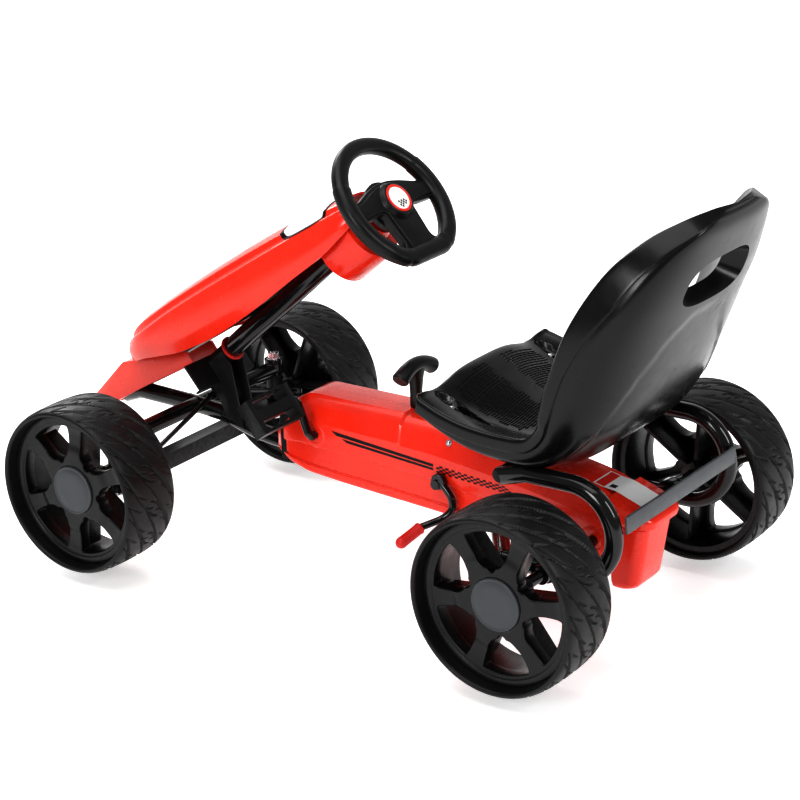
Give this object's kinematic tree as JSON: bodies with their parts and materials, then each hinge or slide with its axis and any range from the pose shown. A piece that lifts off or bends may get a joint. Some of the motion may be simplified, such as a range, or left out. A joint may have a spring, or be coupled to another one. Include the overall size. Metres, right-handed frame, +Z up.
{
  "type": "pedal go kart",
  "caption": "Child's pedal go kart: red chain cover and nose fairing, black bucket seat, spoked plastic wheels, steering wheel, shift lever and hand brake.",
  "frame": {"origin": "on the ground below the middle of the wheelbase, on the centre line", "axes": "+X points forward, +Y to the driver's left and +Z up"},
  "size_m": [1.1335, 0.596, 0.6162],
  "materials": {
    "black_paint": "gloss",
    "red_paint": "gloss",
    "red_plastic": "gloss",
    "black_plastic": "satin",
    "rim_plastic": "gloss",
    "cap_plastic": "satin",
    "tyre": "matte",
    "red_rubber": "matte",
    "grey_paint": "satin",
    "steel": "satin"
  },
  "bodies": {
    "frame": {"main_frame": "black_paint", "spine_tube": "black_paint", "lower_beam": "black_paint", "upper_beam": "black_paint", "column_bracket": "black_paint", "nose_bracket": "red_paint", "support_tube": "black_paint", "column_tube": "black_paint", "column_bushes": "red_plastic", "head_housing": "red_plastic", "fairing": "red_plastic", "rear_loop_left": "black_paint", "rear_loop_right": "black_paint", "rear_cross_bar": "grey_paint", "seat_carrier": "black_paint", "case_left": "red_plastic", "case_right": "red_plastic", "tail_box": "red_plastic", "case_screws": "steel", "axle_bearings": "steel", "crank_bearings": "steel", "kingpins": "steel", "shift_pivot_pin": "steel", "brake_pivot_bolt": "steel", "chain": "steel", "seat_shell": "black_plastic", "seat_bolts": "steel"},
    "steering": {"steering_wheel": "black_plastic", "wheel_pad": "black_plastic", "steering_shaft": "steel", "pitman_arm": "black_paint"},
    "knuckle_l": {"knuckle_left": "black_paint"},
    "knuckle_r": {"knuckle_right": "black_paint"},
    "tie_l": {"tie_rod_left": "black_paint"},
    "tie_r": {"tie_rod_right": "black_paint"},
    "wheel_fl": {"tyre_front_left": "tyre", "rim_front_left": "rim_plastic", "cap_front_left": "cap_plastic"},
    "wheel_fr": {"tyre_front_right": "tyre", "rim_front_right": "rim_plastic", "cap_front_right": "cap_plastic"},
    "axle": {"rear_axle": "steel", "axle_sprocket": "steel", "tyre_rear_right": "tyre", "rim_rear_right": "rim_plastic", "cap_rear_right": "cap_plastic"},
    "wheel_rl": {"tyre_rear_left": "tyre", "rim_rear_left": "rim_plastic", "cap_rear_left": "cap_plastic"},
    "crank": {"crank": "black_paint", "crank_sprocket": "steel"},
    "pedal_l": {"pedal_left": "black_plastic"},
    "pedal_r": {"pedal_right": "black_plastic"},
    "shift": {"shift_lever": "black_paint", "shift_grip": "black_plastic"},
    "brake": {"brake_lever": "black_paint", "brake_grip": "red_rubber"}
  },
  "joints": [
    {"name": "steering_turn", "type": "hinge", "parent": "frame", "child": "steering", "pos_m": [-0.022, 0, 0.5335], "axis": [-0.7604, 0, 0.6494], "range_deg": [-35, 35]},
    {"name": "knuckle_left_turn", "type": "hinge", "parent": "frame", "child": "knuckle_l", "pos_m": [0.364, 0.184, 0.125], "axis": [0, 0, 1], "range_deg": [-28, 28]},
    {"name": "knuckle_right_turn", "type": "hinge", "parent": "frame", "child": "knuckle_r", "pos_m": [0.364, -0.184, 0.125], "axis": [0, 0, 1], "range_deg": [-28, 28]},
    {"name": "tie_left_turn", "type": "hinge", "parent": "knuckle_l", "child": "tie_l", "pos_m": [0.318, 0.184, 0.131], "axis": [0, 0, 1], "range_deg": [-28, 28]},
    {"name": "tie_right_turn", "type": "hinge", "parent": "knuckle_r", "child": "tie_r", "pos_m": [0.318, -0.184, 0.131], "axis": [0, 0, 1], "range_deg": [-28, 28]},
    {"name": "front_left_spin", "type": "hinge", "parent": "knuckle_l", "child": "wheel_fl", "pos_m": [0.364, 0.245, 0.125], "axis": [0, 1, 0], "continuous": true},
    {"name": "front_right_spin", "type": "hinge", "parent": "knuckle_r", "child": "wheel_fr", "pos_m": [0.364, -0.245, 0.125], "axis": [0, 1, 0], "continuous": true},
    {"name": "axle_spin", "type": "hinge", "parent": "frame", "child": "axle", "pos_m": [-0.364, 0, 0.125], "axis": [0, 1, 0], "continuous": true},
    {"name": "rear_left_spin", "type": "hinge", "parent": "axle", "child": "wheel_rl", "pos_m": [-0.364, 0.248, 0.125], "axis": [0, 1, 0], "continuous": true},
    {"name": "crank_spin", "type": "hinge", "parent": "frame", "child": "crank", "pos_m": [0.1, 0, 0.185], "axis": [0, 1, 0], "continuous": true},
    {"name": "pedal_left_spin", "type": "hinge", "parent": "crank", "child": "pedal_l", "pos_m": [0.11984, 0.118, 0.2395], "axis": [0, 1, 0], "continuous": true},
    {"name": "pedal_right_spin", "type": "hinge", "parent": "crank", "child": "pedal_r", "pos_m": [0.08016, -0.118, 0.1305], "axis": [0, 1, 0], "continuous": true},
    {"name": "shift_tilt", "type": "hinge", "parent": "frame", "child": "shift", "pos_m": [-0.045, 0, 0.222], "axis": [0, 1, 0], "range_deg": [-12, 12]},
    {"name": "brake_turn", "type": "hinge", "parent": "frame", "child": "brake", "pos_m": [-0.117, 0.052, 0.157], "axis": [0, 1, 0], "range_deg": [0, 30]}
  ],
  "couplings": [
    {"joint": "knuckle_left_turn", "follows": "steering_turn", "ratio": 0.8},
    {"joint": "knuckle_right_turn", "follows": "steering_turn", "ratio": 0.8},
    {"joint": "tie_left_turn", "follows": "steering_turn", "ratio": -0.8},
    {"joint": "tie_right_turn", "follows": "steering_turn", "ratio": -0.8},
    {"joint": "crank_spin", "follows": "axle_spin", "ratio": 0.65}
  ]
}
